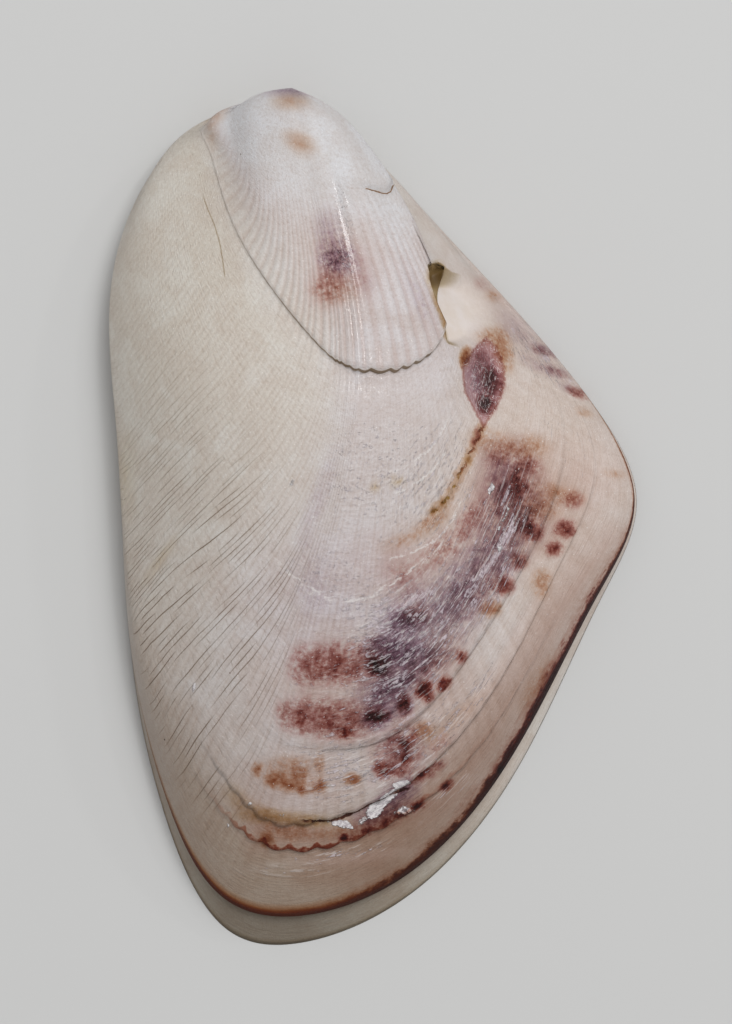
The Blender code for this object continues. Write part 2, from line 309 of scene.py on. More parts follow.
# %% [markdown]
# ## Marks by place
# Some marks keep to no age or rib: a blot of pigment, a flake of chalk, the broken pocket. For those a
# soft ellipse or a soft polygon is laid over the view from above, and each vertex reads how deep inside
# it lies. That is a measured distance and not a picture, so it stays sharp at any size.


# %% Soft ellipses and polygons
def blot(across, down, half_across, half_down, strength=1.0, turn=0.0, soft=0.7):
    """Strength inside an ellipse, fading to nothing over the outer share soft of its radius."""
    angle = np.radians(turn)
    x, y = eye_place[..., 0] - across, eye_place[..., 1] - down
    u = (x * np.cos(angle) + y * np.sin(angle)) / half_across
    v = (y * np.cos(angle) - x * np.sin(angle)) / half_down
    return strength * np.clip((1 - np.hypot(u, v)) / soft, 0, 1)


def depth_inside(corners):
    """Distance in pixels to a polygon's nearest side, positive inside it."""
    corners = np.array(corners, float)
    nearest = np.full(eye_place.shape[:2], np.inf)
    crossings = np.zeros(eye_place.shape[:2], int)
    for a, b in zip(corners, np.roll(corners, -1, axis=0)):
        side, arm = b - a, eye_place - a
        t = np.clip((arm @ side) / (side @ side), 0, 1)
        nearest = np.minimum(nearest, np.linalg.norm(arm - t[..., None] * side, axis=2))
        low, high = min(a[1], b[1]), max(a[1], b[1])
        level = (eye_place[..., 1] >= low) & (eye_place[..., 1] < high)
        reach = a[0] + (eye_place[..., 1] - a[1]) * side[0] / (side[1] if side[1] else 1.0)
        crossings += level & (eye_place[..., 0] < reach)
    return np.where(crossings % 2, nearest, -nearest)


def patch(corners, soft, strength=1.0):
    """Strength inside a polygon, fading over soft pixels on each side of its edge."""
    return strength * np.clip(0.5 + depth_inside(corners) / (2 * soft), 0, 1)


def blots(*rows):
    """A blot for each row of numbers, given in the order that blot takes them."""
    return [blot(*row) for row in rows]


def laid(*marks):
    """Marks laid over one another: what is left uncovered is the product of what each leaves."""
    bare = np.ones(eye_place.shape[:2])
    for mark in marks:
        bare = bare * (1 - mark)
    return 1 - bare


# %% [markdown]
# ### Where the skin is broken
# A flake has come off beside the juvenile shell, and below it lies a long sunken scar. Both are cut with
# the smooth step 3tt - 2ttt of the depth inside their outlines. The pocket falls steeply at the juvenile
# shell and runs out gently on the other side.

# %% The broken pocket and the scar below it
POCKET = [(428, 264), (440, 262), (452, 272), (468, 276), (486, 288), (495, 307), (491, 329), (480, 345),
          (462, 348), (449, 342), (447, 326), (438, 305), (431, 285)]
SCAR = [(474, 348), (486, 336), (497, 346), (504, 362), (506, 380), (501, 400), (484, 430), (476, 415),
        (464, 392), (462, 366)]
pocket_depth = depth_inside(POCKET) * PIXEL
scar_depth = depth_inside(SCAR) * PIXEL
print("pocket", round(float(pocket_depth.max()), 2), "mm from its edge to its middle")
slope_width = np.interp(eye_place[..., 0], (446, 476), (0.16, 0.85))
steep = np.clip(pocket_depth / slope_width, 0, 1)
pocket = -np.interp(eye_place[..., 0], (446, 492), (0.60, 0.25)) * steep * steep * (3 - 2 * steep)
sunk = np.clip(scar_depth / 0.35, 0, 1)
scar = -0.10 * sunk * sunk * (3 - 2 * sunk)
ribs = ribs * (1 - steep)

# %% [markdown]
# ## The skin of the valve
# The outside, the flat edge of the rim and the hollow are one closed skin. The hollow is the plain form
# drawn in towards the middle of the rim, so that the wall is thin at the edge and thick at the beak.

# %% Outside and hollow
height = (ledges + ribs + waves + pocket + scar) * np.interp(age, (0, 0.03, 0.985, 1), (0, 1, 1, 0))
outside = plain + outward(plain) * height[..., None]
outside[-1, :, 2] = 0
HOLLOW_MIDDLE = np.array([-1.6, -0.8, 0.0])
hollow_rows = np.array(
    [1.0, 0.985, 0.96, 0.92, 0.86, 0.79, 0.71, 0.62, 0.53, 0.44, 0.36, 0.28, 0.21, 0.15, 0.1, 0.05, 0.02]
)


def drawn_in(points, ages):
    """Points moved towards the middle of the rim: kept share 0.95 at the rim and 0.87 at the beak."""
    keep = np.interp(ages, (0, 0.9, 1), (0.87, 0.925, 0.95))[:, None, None]
    up = np.interp(ages, (0, 0.9, 1), (0.85, 0.86, 0.90))[:, None, None]
    return HOLLOW_MIDDLE + (points - HOLLOW_MIDDLE) * np.concatenate([keep, keep, up], 2)


hollow = drawn_in(valve(np.broadcast_to(hollow_rows[:, None], (len(hollow_rows), COLUMNS))), hollow_rows)
hollow_pole = drawn_in(np.array([[BEAK]]), np.zeros(1))[0, 0]

# %% [markdown]
# ### Where each pigment lies
# Wine red, rust, violet and olive were laid down in bands and in spots, and pale chalk crusted over some. Pale
# lilac patches over others are a painted sheen, and a few marks are painted glints or painted shade. Each list
# gives place, half width, half height, strength, turn and softness. A painted map would need a picture, and
# these few numbers can be read and moved one by one.

# %% Pigment, by place
painted = {}
painted["pale"] = laid(
    *blots(
        (482, 690, 74, 15, 0.9, -56, 1), (520, 622, 50, 12, 0.6, -58, 1), (410, 765, 70, 10, 0.35, -35, 1),
        (330, 860, 110, 9, 0.5, -6, 1), (262, 560, 60, 110, 0.35, 20, 1), (478, 318, 18, 34, 0.4, 8, 1),
        (450, 420, 60, 40, 0.3, 0, 1), (590, 500, 30, 60, 0.3, 10, 1),
    ),
)
painted["wine"] = laid(
    patch(
        [(298, 650), (330, 648), (372, 646), (384, 654), (384, 670), (360, 680), (305, 682), (292, 668)],
        11, 0.6,
    ),
    patch(
        [(280, 708), (300, 702), (350, 704), (366, 712), (366, 732), (345, 737), (318, 734), (284, 724)],
        10, 0.66,
    ),
    *blots(
        (396, 774, 36, 18, 0.3, -15, 0.9), (408, 730, 22, 22, 0.22, 0, 0.9), (376, 668, 14, 11, 0.8),
        (345, 733, 12, 8, 0.75), (324, 727, 16, 8, 0.45), (300, 726, 12, 7, 0.3), (296, 675, 10, 7, 0.25),
        (336, 672, 20, 8, 0.3), (318, 662, 7, 18, 0.3), (336, 655, 7, 18, 0.35), (303, 714, 12, 10, 0.3),
        (424, 689, 14, 9, 1, -35), (423, 690, 9, 6, 1, -35), (444, 684, 12, 8, 1, -35),
        (444, 684, 8, 6, 1, -35), (430, 698, 10, 5, 0.7, -35), (430, 666, 34, 14, 0.35, -30, 0.9),
        (404, 704, 9, 13, 0.8, 20), (377, 716, 17, 9, 0.75, -10), (380, 662, 12, 10, 0.45),
        (440, 746, 26, 12, 0.28, -40, 1), (405, 744, 12, 9, 0.9), (406, 758, 9, 8, 0.8),
        (382, 770, 13, 10, 0.8), (396, 769, 12, 9, 0.6), (396, 752, 34, 32, 0.5, 0, 0.9),
        (418, 806, 12, 6, 0.9, -30), (447, 786, 11, 6, 0.9, -35), (430, 772, 26, 9, 0.6, -35),
        (504, 586, 15, 13, 0.85), (519, 561, 13, 12, 0.7), (533, 533, 14, 12, 0.8),
        (565, 529, 14, 12, 0.85), (554, 549, 12, 10, 0.8), (573, 500, 15, 12, 0.4), (527, 467, 18, 12, 0.6),
        (517, 485, 12, 18, 0.7, -15), (522, 524, 18, 14, 0.5), (577, 393, 14, 6, 0.75, 22),
        (556, 372, 20, 5, 0.25, 22), (543, 352, 16, 5, 0.3, 22), (530, 345, 44, 16, 0.08, 46, 1),
        (482, 284, 12, 8, 0.2, 35), (462, 657, 8, 10, 0.85), (493, 380, 14, 20, 0.85, -20),
        (487, 403, 12, 16, 0.95), (483, 360, 16, 24, 0.4, 0, 0.9), (499, 768, 9, 7, 0.6),
        (327, 288, 26, 26, 0.35, 0, 0.9), (340, 264, 32, 38, 0.3, 0, 1), (364, 276, 16, 30, 0.12, -8, 0.9),
        (415, 614, 22, 14, 0.5), (405, 575, 34, 34, 0.25, 0, 0.9), (445, 548, 40, 20, 0.4, -40, 0.9),
        (498, 455, 24, 18, 0.28, 0, 0.9), (470, 520, 30, 16, 0.35, -55, 0.9),
        (505, 500, 42, 62, 0.32, 12, 1), (476, 437, 5, 15, 0.6, 15, 0.8), (480, 590, 44, 26, 0.3, -50, 1),
        (549, 674, 26, 9, 0.35, -60, 0.9), (533, 706, 20, 7, 0.3, -60, 0.9), (345, 838, 9, 5, 0.9),
        (366, 831, 8, 5, 0.8, -20), (386, 823, 8, 5, 0.8, -25), (402, 815, 8, 5, 0.7, -25),
        (385, 820, 60, 14, 0.45, -22, 0.9),
    ),
)
# %% Rust, violet and olive
painted["rust"] = laid(
    *blots(
        (257, 770, 8, 9, 0.7), (274, 780, 13, 10, 0.85), (287, 784, 12, 9, 0.8), (299, 788, 14, 7, 0.9, 20),
        (299, 774, 12, 13, 0.55), (318, 786, 12, 10, 0.8), (320, 763, 7, 18, 0.4), (353, 780, 12, 8, 0.85),
        (290, 768, 36, 16, 0.45, 0, 0.9), (424, 731, 14, 12, 0.55), (265, 841, 12, 8, 0.8),
        (271, 832, 20, 13, 0.35), (294, 833, 20, 12, 0.4), (491, 609, 15, 12, 0.65),
        (542, 584, 14, 20, 0.45), (501, 446, 44, 18, 0.45, 15, 0.9), (532, 446, 24, 16, 0.35, 0, 0.9),
        (540, 510, 26, 16, 0.45, 0, 0.9), (560, 494, 34, 11, 0.45, 12, 0.9), (584, 412, 12, 6, 0.3, 20),
        (614, 474, 16, 6, 0.25, 10), (493, 296, 11, 8, 0.35, 20, 0.9), (540, 686, 44, 15, 0.5, -60, 1),
        (525, 500, 40, 70, 0.25, 0, 1), (300, 142, 24, 15, 0.55, 25, 1), (290, 101, 26, 13, 0.5, 0, 1),
        (338, 290, 34, 20, 0.32, 0, 0.9), (219, 113, 11, 22, 0.34, 35, 1), (212, 135, 9, 26, 0.2, 0, 1),
        (432, 522, 34, 12, 0.5, -38, 0.9), (400, 541, 30, 9, 0.35, -20, 0.9), (466, 357, 7, 15, 0.95, 10),
        (503, 350, 13, 30, 0.6, -12, 0.8), (488, 336, 16, 12, 0.5, 0, 0.9), (480, 262, 26, 9, 0.3, 42, 0.9),
        (330, 834, 46, 9, 0.3, -5), (450, 640, 26, 40, 0.18, 30, 1), (446, 727, 70, 12, 0.25, -42, 1),
    ),
)
painted["violet"] = laid(
    patch(
        [
            (492, 452), (516, 448), (532, 470), (545, 505), (540, 532), (520, 552), (500, 565), (478, 592),
            (452, 604), (466, 560), (484, 508),
        ],
        18, 0.4,
    ),
    patch(
        [
            (404, 592), (440, 577), (480, 556), (500, 545), (488, 598), (456, 646), (428, 680), (396, 710),
            (370, 724), (358, 702), (372, 652), (388, 612),
        ],
        18, 0.34,
    ),
    *blots(
        (503, 490, 20, 32, 0.36, 0, 0.9), (520, 522, 20, 20, 0.32, 0, 0.9),
        (506, 562, 30, 18, 0.3, -45, 0.8), (406, 622, 26, 17, 0.7), (382, 644, 26, 12, 0.7, -15),
        (400, 655, 36, 14, 0.75, -20), (380, 666, 17, 13, 0.85), (392, 686, 30, 15, 0.55, -15),
        (378, 697, 20, 11, 0.4), (405, 678, 34, 13, 0.4, -20), (402, 705, 14, 15, 0.6),
        (377, 717, 22, 12, 0.9, -12), (424, 660, 36, 14, 0.4, -25), (444, 620, 34, 22, 0.2, -45, 0.9),
        (330, 600, 120, 90, 0.1, 0, 1), (484, 378, 22, 40, 0.4, -5, 0.8), (487, 403, 11, 15, 0.35),
        (495, 382, 10, 15, 0.4), (335, 254, 24, 20, 0.4, 0, 0.9), (328, 228, 20, 26, 0.22, 0, 1),
        (340, 262, 26, 18, 0.42, 0, 0.9), (362, 284, 18, 20, 0.12, 0, 1), (292, 90, 42, 9, 0.45, 0, 0.9),
        (556, 372, 20, 7, 0.3, 22), (543, 351, 18, 7, 0.35, 22), (385, 808, 44, 16, 0.5, -25),
        (404, 748, 30, 26, 0.3, 0, 0.9), (466, 590, 30, 30, 0.14, -45, 1), (400, 790, 30, 14, 0.5, -25),
        (528, 338, 56, 20, 0.1, 46, 1), (318, 500, 13, 66, 0.15, 20, 1), (312, 580, 26, 50, 0.08, 0, 1),
        (420, 300, 16, 50, 0.12, -25, 1), (512, 328, 24, 13, 0.14, 48, 1), (536, 366, 30, 8, 0.16, 30, 0.9),
        (568, 388, 16, 7, 0.22, 24, 0.9), (384, 655, 26, 18, 0.35, -20, 0.9),
        (376, 712, 20, 14, 0.35, -20, 0.9), (487, 375, 12, 26, 0.25, 0, 0.9),
    ),
)
painted["olive"] = laid(
    *blots(
        # The three blots near 440 across, 275 to 322 down, are olive and painted shade in the pocket.
        (272, 814, 26, 7, 0.45, 20), (308, 824, 28, 6, 0.5, 4), (436, 275, 12, 18, 0.95, 10, 0.8),
        (447, 322, 8, 26, 0.85, -18), (439, 300, 8, 18, 0.8, -22), (465, 357, 7, 12, 0.5),
        (125, 480, 16, 60, 0.2, 0, 1), (160, 560, 8, 40, 0.25, 35, 1), (290, 819, 70, 10, 0.55, 3),
        (252, 812, 26, 14, 0.4, 25, 0.8), (235, 796, 20, 14, 0.35, 40, 0.9), (396, 481, 14, 6, 0.4),
        (375, 486, 8, 7, 0.35), (468, 460, 5, 6, 0.8), (443, 503, 6, 5, 0.9, -40),
        (434, 511, 7, 4, 0.7, -30),
    ),
)
# %% Deep dots, blush and gloom
painted["dots"] = laid(
    *blots(
        (424, 690, 11, 7, 1, -35), (444, 684, 10, 7, 1, -35), (404, 704, 7, 9, 0.6, 20),
        (377, 716, 14, 7, 0.7, -10), (374, 668, 8, 8, 0.6), (345, 734, 10, 6, 0.6), (324, 728, 11, 5, 0.55),
        (300, 722, 8, 6, 0.25), (405, 744, 9, 6, 0.7), (414, 738, 6, 4, 0.6), (406, 760, 6, 5, 0.6),
        (382, 770, 8, 7, 0.5), (418, 806, 9, 4, 1, -30), (447, 786, 9, 4, 1, -35),
        (420, 778, 16, 4, 0.8, -35), (565, 530, 8, 7, 0.4), (554, 550, 7, 6, 0.4), (504, 588, 9, 8, 0.3),
        (520, 562, 8, 8, 0.3), (534, 527, 10, 6, 0.3, 30), (462, 657, 6, 7, 0.6),
        (517, 483, 7, 13, 0.5, -20), (345, 838, 6, 4, 0.8), (366, 831, 6, 4, 0.8, -20),
        (386, 823, 6, 4, 0.8, -25), (402, 815, 6, 4, 0.7, -25), (488, 404, 8, 10, 0.25),
        (492, 381, 7, 9, 0.15), (573, 500, 8, 6, 0.1), (499, 768, 6, 5, 0.5), (320, 664, 8, 9, 0.25),
        (340, 662, 9, 8, 0.25),
    ),
)
painted["blush"] = laid(
    patch(
        [
            (300, 875), (420, 800), (480, 716), (550, 596), (606, 535), (620, 535), (545, 671), (480, 794),
            (384, 886),
        ],
        20, 0.85,
    ),
    patch([(240, 800), (330, 828), (440, 775), (452, 792), (330, 856), (250, 852)], 12, 0.8),
    *blots(
        (330, 692, 95, 82, 0.55, 0, 1), (400, 560, 80, 50, 0.45, -15, 1), (520, 505, 84, 90, 0.8, 0, 1),
        (300, 785, 90, 42, 0.6, 0, 1), (430, 700, 80, 70, 0.6, -35, 1), (590, 480, 60, 60, 0.4, 0, 1),
        (340, 265, 60, 70, 0.45, 0, 1), (500, 300, 50, 26, 0.4, 45, 1),
    ),
)
# %% Chalk, scuffs and glint lines, painted sheen, and gloss
painted["chalk"] = laid(
    *blots(
        (402, 784, 14, 6, 1, -8), (393, 794, 13, 6, 1, -30), (383, 802, 20, 8, 1, -38),
        (375, 812, 13, 8, 1, -42), (340, 824, 15, 5, 0.95, 5), (350, 828, 6, 3, 0.8, 10),
        (405, 811, 16, 7, 0.55, -15), (362, 822, 10, 4, 0.5, -20), (504, 514, 3, 26, 0.75, 22),
        (500, 548, 2.5, 14, 0.6, 8), (491, 489, 5, 8, 0.9, 30), (194, 687, 2.5, 7, 0.9, 10),
        (294, 482, 5, 3, 0.6, 30), (225, 824, 8, 2.5, 0.7, 40), (249, 804, 8, 4, 0.5),
        (283, 814, 9, 4, 0.5),
    ),
)
painted["scuffs_and_glint_lines"] = laid(
    patch(
        [
            (352, 600), (420, 585), (470, 560), (505, 505), (535, 520), (520, 575), (482, 628), (440, 680),
            (400, 712), (362, 722), (352, 690),
        ],
        20, 0.95,
    ),
    patch([(300, 745), (400, 730), (440, 700), (470, 690), (440, 770), (380, 800), (310, 800)], 16, 0.7),
    *blots(
        (508, 508, 30, 62, 0.75, 28, 0.8), (482, 385, 18, 38, 0.7), (410, 480, 90, 90, 0.55, 0, 1),
        (330, 580, 90, 40, 0.5, 10, 1), (320, 690, 60, 60, 0.35, 0, 1), (480, 690, 60, 16, 0.6, -55, 1),
        # The narrow blot at 345 across and 240 down, on the juvenile shell's ribs, gives painted glint lines;
        # the rest is wear.
        (345, 240, 12, 70, 0.6, -6, 0.6), (345, 854, 80, 9, 1, -10, 1), (290, 872, 60, 8, 0.6, 0, 1),
        (450, 790, 60, 14, 0.5, -42, 1), (560, 440, 60, 90, 0.3, -20, 1), (535, 350, 60, 24, 0.7, 46, 0.8),
        (440, 470, 46, 70, 0.45, 20, 0.9), (455, 550, 90, 60, 0.5, -40, 1), (350, 480, 60, 120, 0.3, 0, 1),
    ),
)
# Painted sheen: pale lilac patches where the smooth shell catches the light.
painted["painted_sheen"] = laid(
    patch(
        [
            (517, 518), (519, 526), (509, 546), (497, 562), (470, 586), (462, 585), (484, 563), (498, 546),
            (509, 530),
        ],
        5, 0.62,
    ),
    *blots(
        (505, 535, 5, 16, 0.5, 32, 0.8), (484, 572, 22, 7, 0.4, -48, 0.9), (420, 596, 40, 9, 0.7, -30, 0.9),
        (396, 612, 34, 7, 0.6, -32, 0.9), (380, 630, 30, 5, 0.5, -28, 0.9),
        (440, 640, 40, 6, 0.5, -45, 0.9), (404, 672, 40, 5, 0.5, -28, 0.9),
        (412, 716, 44, 6, 0.55, -33, 0.9), (396, 744, 34, 5, 0.45, -25, 0.9),
        (546, 358, 12, 6, 0.6, 20, 0.9), (572, 382, 14, 5, 0.5, 20, 0.9), (513, 330, 8, 5, 0.6, 30, 0.9),
        (475, 375, 7, 22, 0.4, 5, 0.9), (506, 470, 5, 26, 0.4, 20, 0.9), (440, 735, 40, 6, 0.4, -42, 0.9),
    ),
)
painted["glossy"] = laid(
    *blots(
        (345, 220, 11, 58, 1, -6, 0.6), (352, 300, 15, 60, 0.8, -3, 0.8), (362, 372, 34, 34, 0.45, 0, 0.9),
        (482, 385, 24, 44, 0.5), (440, 620, 60, 90, 0.4, 35, 1),
    ),
)
FLECKS = {
    "dark_fleck": (229.6, 673.2, 0.055), "brown_fleck": (164.6, 739.6, 0.05),
    "upper_fleck": (240.5, 154.0, 0.035),
}

# %% [markdown]
# ## Lines finer than the mesh
# A crack is thinner than the space between two vertices, so a share on the vertices would blur it. The
# distance from the crack, positive on one side and negative on the other, changes evenly from vertex to
# vertex, so the material can cut a crisp line out of it anywhere.


# %% Distances from drawn lines
def trail(points):
    """Signed distance in mm from an open line, and how far along it the nearest point lies, in mm."""
    points = np.array(points, float)
    nearest = np.full(eye_place.shape[:2], np.inf)
    across, along = np.zeros_like(nearest), np.zeros_like(nearest)
    start = 0.0
    for a, b in zip(points, points[1:]):
        side, arm = b - a, eye_place - a
        length = np.hypot(*side)
        t = (arm @ side) / length**2
        near = np.linalg.norm(arm - np.clip(t, 0, 1)[..., None] * side, axis=2)
        sign = np.where(side[0] * arm[..., 1] - side[1] * arm[..., 0] < 0, -1.0, 1.0)
        place = start + np.clip(
            t, -9 if start == 0 else 0, 9 if np.array_equal(b, points[-1]) else 1,
        ) * length
        closer = near < nearest
        across, along = np.where(closer, sign * near, across), np.where(closer, place, along)
        nearest = np.minimum(near, nearest)
        start += length
    return across * PIXEL, along * PIXEL, start * PIXEL


TRAILS = {
    "split": [(484, 422), (478, 436), (473, 448), (467, 462), (461, 472), (455, 485), (450, 493), (443, 504),
              (436, 509), (430, 515)],
    "mid_line": [
        (272, 556), (284, 568), (306, 586), (339, 601), (371, 597), (393, 581), (420, 564), (448, 540),
    ],
    "hook": [(366, 188), (376, 190), (388, 193), (393, 190), (394, 184)],
    "old_line": [(203, 196), (208, 210), (214, 224), (219, 240), (222, 256), (225, 278)],
    "upper_arc": [(449, 418), (441, 434), (430, 449), (414, 461), (398, 470), (380, 476)],
    "lower_arc": [(446, 452), (436, 466), (424, 478), (408, 488), (392, 495)],
    "right_arc": [(462, 500), (452, 522), (436, 540), (414, 552), (388, 560)],
    "deep_crack": [
        (300, 820), (312, 821), (325, 822), (340, 820), (356, 813), (380, 800), (398, 793), (412, 789),
    ],
}
trails = {name: trail(points) for name, points in TRAILS.items()}
print("line lengths in mm", {name: round(float(length), 1) for name, (_, _, length) in trails.items()})

# %% [markdown]
# ## One mesh that knows its growth
# The grid goes into a mesh as it is. Each vertex also carries its age, its rib, its distance past every
# old edge and its share of each pigment as attributes, which the material reads by name.

# %% Build the mesh
everything = np.vstack([outside.reshape(-1, 3), hollow.reshape(-1, 3), [BEAK], [hollow_pole]]) - MIDDLE
here = np.arange(COLUMNS)
after = (here + 1) % COLUMNS
ring = np.arange(len(outside) + len(hollow) - 1)[:, None] * COLUMNS
quads = np.stack(
    [ring + here, ring + COLUMNS + here, ring + COLUMNS + after, ring + after], -1,
).reshape(-1, 4)
start, end = len(everything) - 2, len(everything) - 1
last = (len(outside) + len(hollow) - 1) * COLUMNS
fans = [(start, a, b) for a, b in zip(here.tolist(), after.tolist())]
fans += [(end, last + b, last + a) for a, b in zip(here.tolist(), after.tolist())]

mesh = bpy.data.meshes.new("valve")
mesh.from_pydata((everything * MM).tolist(), [], quads.tolist() + fans)
mesh.validate()
shell = bpy.data.objects.new("valve", mesh)
bpy.context.scene.collection.objects.link(shell)
print(len(mesh.vertices), "vertices,", 2 * len(quads) + len(fans), "triangles")

# %% [markdown]
# ### Fields for the material
# The material asks for these by name. The hollow and the two poles get a value that switches the mark off.

# %% Hand the fields to the mesh
def carry(name, outer, inner=0.0):
    """A named number on every vertex: the grid outside, one value in the hollow, and none at the poles."""
    values = np.concatenate([np.ravel(outer), np.full(hollow.shape[0] * COLUMNS + 2, inner)])
    layer = mesh.attributes.new(name, "FLOAT", "POINT")
    layer.data.foreach_set("value", values.astype(np.float32))


grid = np.ones((len(rows), 1))
carry("late_rib", grid * late_rib)
carry("young_rib", grid * young_rib)
carry("age", age, 1.0)
for name, distance in past.items():
    carry("past_" + name, distance, -5.0)
for name, share in painted.items():
    carry(name, np.clip(share, 0, 1))
for name, (across, along, length) in trails.items():
    carry(name + "_across", across, 9.0)
    carry(name + "_along", along / length, -9.0)
carry("pocket_depth", pocket_depth, -9.0)
carry("scar_depth", scar_depth, -9.0)
carry("pocket_wall", np.interp(eye_place[..., 0], (440, 462), (1, 0)))
carry("in_pocket", steep)

# %% Fields that depend on age and on rib
ZONES = {  # ages, share at each age, strength at each of the 14 ribs
    "rib_height": (
        (0.36, 0.5, 0.88, 0.96), (0.15, 1, 1, 0),
        (0, 0.1, 0.2, 0.45, 0.7, 0.8, 0.8, 0.8, 0.8, 0.8, 0.6, 0.4, 0.3, 0),
    ),
    "young_show": ((0.14, 0.22), (0, 1), (0.1, 0.25, 0.4, 0.7, 0.9, 1, 1, 1, 1, 1, 1, 0.8, 0.5, 0.1)),
    "flank": ((0.18, 0.42, 1), (0, 1, 1), (1, 1, 1, 1, 0.75, 0.25, 0, 0, 0, 0, 0, 0, 0, 0.6)),
    "wing": ((0.4, 0.6, 1), (0, 1, 1), (0, 0, 0, 0, 0, 0, 0, 0, 0.1, 0.5, 0.9, 1, 1, 0.6)),
    "lower": ((0.66, 0.82, 0.89, 1), (0, 0.2, 1, 1), (0, 0, 0, 0.1, 0.4, 0.9, 1, 1, 1, 0.6, 0.2, 0, 0, 0)),
    "crazed": ((0.52, 0.66, 0.88, 0.925), (0, 1, 1, 0), (0, 0, 0, 0.2, 1, 0.9, 0, 0, 0, 0, 0, 0, 0, 0)),
}
for name, (ages, shares, strengths) in ZONES.items():
    carry(name, np.interp(age, ages, shares) * np.clip(by_rib(*strengths), 0, 1))

# %% Fields that depend on rib alone
SIDES = {  # strength, or width in mm, at each of the 14 ribs
    "strip_show": (0, 0, 0, 0, 0.1, 0.4, 1, 1, 1, 1, 0.9, 0.6, 0.2, 0),
    "strip_light": (0, 0, 0, 0, 0, 0, 0, 0, 0.2, 1, 1, 1, 1, 0),
    "strip_shade": (0, 0, 0, 0, 0, 0.3, 0.9, 1, 0.5, 0, 0, 0, 0, 0),
    "dark_edge": (0, 0, 0, 0, 0, 0, 0, 0.05, 0.75, 1, 1, 0.8, 0.3, 0),
    "edge_width": (0.03, 0.03, 0.03, 0.03, 0.04, 0.12, 0.26, 0.3, 0.38, 0.5, 0.44, 0.14, 0.03, 0.03),
    "gap_juvenile": (0, 0.12, 0.2, 0.3, 0.45, 0.7, 0.75, 0.7, 0.6, 0.6, 0.6, 0.5, 0.2, 0),
    "gap_worn": (0, 0, 0, 0, 0, 0, 0.1, 0.3, 0.4, 0.9, 0.7, 0, 0, 0),
    "gap_late": (0, 0, 0, 0, 0, 0, 0, 0.2, 0.8, 0.8, 0.5, 0, 0, 0),
}
for name, strengths in SIDES.items():
    carry(name, grid * by_rib(*strengths))
carry("gap_red", grid * by_rib(0, 0, 0, 0, 0, 0, 0.8, 1, 0.7, 0.3, 0, 0, 0, 0) ** 3)
print(len(mesh.attributes), "attributes")

# %% [markdown]
# ## A map for the bake
# The unrolled grid is also the map: columns across, rows up, the hollow above the outside. Where the last
# column meets the first, the corners take the next number, so that no face runs back across the map.

# %% A map for the bake
corner_vertex = np.empty(len(mesh.loops), np.int32)
mesh.loops.foreach_get("vertex_index", corner_vertex)
face_start = np.empty(len(mesh.polygons), np.int32)
face_size = np.empty(len(mesh.polygons), np.int32)
mesh.polygons.foreach_get("loop_start", face_start)
mesh.polygons.foreach_get("loop_total", face_size)
face_of = np.repeat(np.arange(len(mesh.polygons)), face_size)
ring_of = np.append(np.repeat(np.arange(len(outside) + len(hollow)), COLUMNS), [-1, -1])
up_outside = 0.02 + 0.76 * rows
up_hollow = 0.80 + 0.19 * (1 - hollow_rows)
up = np.concatenate([up_outside, up_hollow, [0.015, 0.998]])[ring_of]
up[start], up[end] = 0.012, 0.998
column_of = np.append(np.tile(here, len(outside) + len(hollow)), [-1, -1])[corner_vertex].astype(float)
wraps = np.zeros(len(mesh.polygons), bool)
np.logical_or.at(wraps, face_of, column_of == COLUMNS - 1)
column_of[(column_of == 0) & wraps[face_of]] = COLUMNS
pole_corner = column_of < 0
neighbour = np.zeros(len(mesh.polygons))
np.maximum.at(neighbour, face_of, column_of)
column_of[pole_corner] = neighbour[face_of[pole_corner]] - 0.5
uv = np.stack([0.004 + 0.992 * column_of / COLUMNS, up[corner_vertex]], 1)
layer = mesh.uv_layers.new(name="OFBake")
layer.data.foreach_set("uv", uv.astype(np.float32).ravel())
mesh.shade_smooth()
print("map from", uv.min(axis=0).round(3).tolist(), "to", uv.max(axis=0).round(3).tolist())

# %% [markdown]
# ## Wiring materials in words
# A node tree is quick to read when each sum is one call. These helpers add one node each to the material on
# the bench, wire whatever is given into its sockets, and hand back its output, so that a pattern reads like
# a formula.

# %% The bench, and its nodes
bench = {}


def new_material(name):
    """A new material and its surface shader. It goes on the bench, where the helpers add their nodes."""
    material = bpy.data.materials.new(name)
    material.use_nodes = True
    bench["tree"] = material.node_tree
    return material, material.node_tree.nodes["Principled BSDF"]


def node(kind, **settings):
    made = bench["tree"].nodes.new("ShaderNode" + kind)
    for name, value in settings.items():
        setattr(made, name, value)
    return made


def wire(value, socket):
    """Link an output into the socket, or set a constant on it."""
    if isinstance(value, bpy.types.NodeSocket):
        bench["tree"].links.new(value, socket)
    else:
        socket.default_value = value


def calc(operation, *values, clamp=False):
    made = node("Math", operation=operation, use_clamp=clamp)
    for value, socket in zip(values, made.inputs):
        wire(value, socket)
    return made.outputs[0]


def times(first, second, clamp=False):
    return calc("MULTIPLY", first, second, clamp=clamp)


def plus(first, second, clamp=False):
    return calc("ADD", first, second, clamp=clamp)


def minus(first, second):
    return calc("SUBTRACT", first, second)


# %% Steps, mixes and stains
def fade(value, low, high, to_low=0.0, to_high=1.0):
    """Smooth step: to_low below low, to_high above high, and an S between them."""
    made = node("MapRange", interpolation_type="SMOOTHSTEP")
    for number, socket in zip((value, low, high, to_low, to_high), made.inputs):
        wire(number, socket)
    return made.outputs[0]


def ridge(value, half_width):
    """One where the value crosses one half, and nothing beyond half_width from there."""
    return fade(calc("ABSOLUTE", minus(value, 0.5)), 0.0, half_width, 1, 0)


